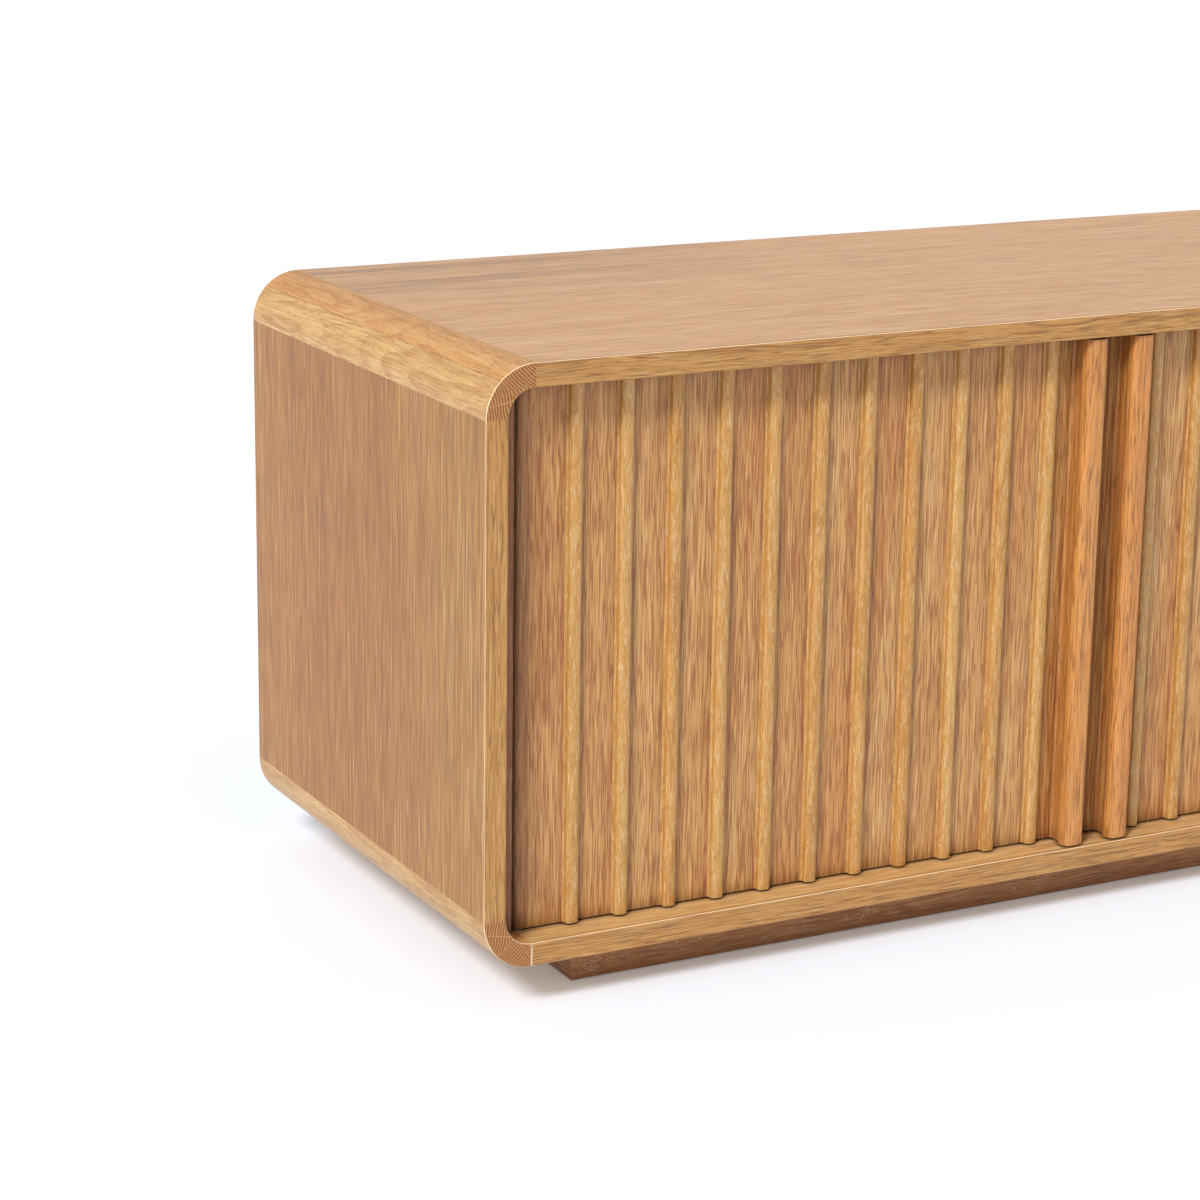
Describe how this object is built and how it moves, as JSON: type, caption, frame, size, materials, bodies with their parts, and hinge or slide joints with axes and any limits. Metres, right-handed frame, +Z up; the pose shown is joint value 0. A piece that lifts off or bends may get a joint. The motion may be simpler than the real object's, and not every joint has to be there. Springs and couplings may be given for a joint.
{
  "type": "media cabinet",
  "caption": "Low media cabinet in oak with rounded carcass corners, ribbed inset doors hung on pivots, full-height moulded pulls and a recessed plinth.",
  "frame": {"origin": "on the floor, under the middle of the carcass", "axes": "+Z up, +X along the width to the right seen from the front, +Y from the doors to the back"},
  "size_m": [2.2, 0.45, 0.5],
  "materials": {
    "oak_veneer": "satin",
    "oak_solid": "satin",
    "oak_stave": "satin",
    "oak_plinth": "satin",
    "plywood": "matt",
    "hardware_steel": "satin",
    "black_plastic": "matt",
    "grey_plastic": "matt"
  },
  "bodies": {
    "carcass": {"top_panel": "oak_veneer", "bottom_panel": "oak_veneer", "side_panel_left": "oak_veneer", "side_panel_right": "oak_veneer", "lipping_top": "oak_solid", "lipping_bottom": "oak_solid", "lipping_left": "oak_solid", "lipping_right": "oak_solid", "corner_rail_top_left": "oak_solid", "corner_rail_top_right": "oak_solid", "corner_rail_bottom_left": "oak_solid", "corner_rail_bottom_right": "oak_solid", "corner_tongues": "plywood", "centre_partition": "oak_veneer", "centre_stile": "oak_solid", "stile_left": "oak_solid", "stile_right": "oak_solid", "back_panel_left": "oak_veneer", "back_panel_right": "oak_veneer", "cable_grommets": "black_plastic", "shelf_left": "oak_veneer", "shelf_right": "oak_veneer", "shelf_pegs": "hardware_steel", "plinth_front": "oak_plinth", "plinth_rear": "oak_plinth", "plinth_end_left": "oak_plinth", "plinth_end_right": "oak_plinth", "plinth_bearers": "plywood", "plinth_blocks": "plywood", "plinth_screws": "hardware_steel", "plinth_glides": "grey_plastic", "pivot_pins": "hardware_steel", "magnetic_catches": "grey_plastic"},
    "door_1": {"door_1_core": "plywood", "door_1_staves": "oak_stave", "door_1_ribs": "oak_solid", "door_1_pull": "oak_solid", "door_1_edges": "oak_solid", "door_1_fittings": "hardware_steel"},
    "door_2": {"door_2_core": "plywood", "door_2_staves": "oak_stave", "door_2_ribs": "oak_solid", "door_2_pull": "oak_solid", "door_2_edges": "oak_solid", "door_2_fittings": "hardware_steel"},
    "door_3": {"door_3_core": "plywood", "door_3_staves": "oak_stave", "door_3_ribs": "oak_solid", "door_3_pull": "oak_solid", "door_3_edges": "oak_solid", "door_3_fittings": "hardware_steel"},
    "door_4": {"door_4_core": "plywood", "door_4_staves": "oak_stave", "door_4_ribs": "oak_solid", "door_4_pull": "oak_solid", "door_4_edges": "oak_solid", "door_4_fittings": "hardware_steel"}
  },
  "joints": [
    {"name": "door_1_swing", "type": "hinge", "parent": "carcass", "child": "door_1", "pos_m": [-1.0557, -0.189, 0.269], "axis": [0, 0, -1], "range_deg": [0, 86]},
    {"name": "door_2_swing", "type": "hinge", "parent": "carcass", "child": "door_2", "pos_m": [-0.0198, -0.189, 0.269], "axis": [0, 0, 1], "range_deg": [0, 86]},
    {"name": "door_3_swing", "type": "hinge", "parent": "carcass", "child": "door_3", "pos_m": [0.0198, -0.189, 0.269], "axis": [0, 0, -1], "range_deg": [0, 86]},
    {"name": "door_4_swing", "type": "hinge", "parent": "carcass", "child": "door_4", "pos_m": [1.0557, -0.189, 0.269], "axis": [0, 0, 1], "range_deg": [0, 86]}
  ]
}
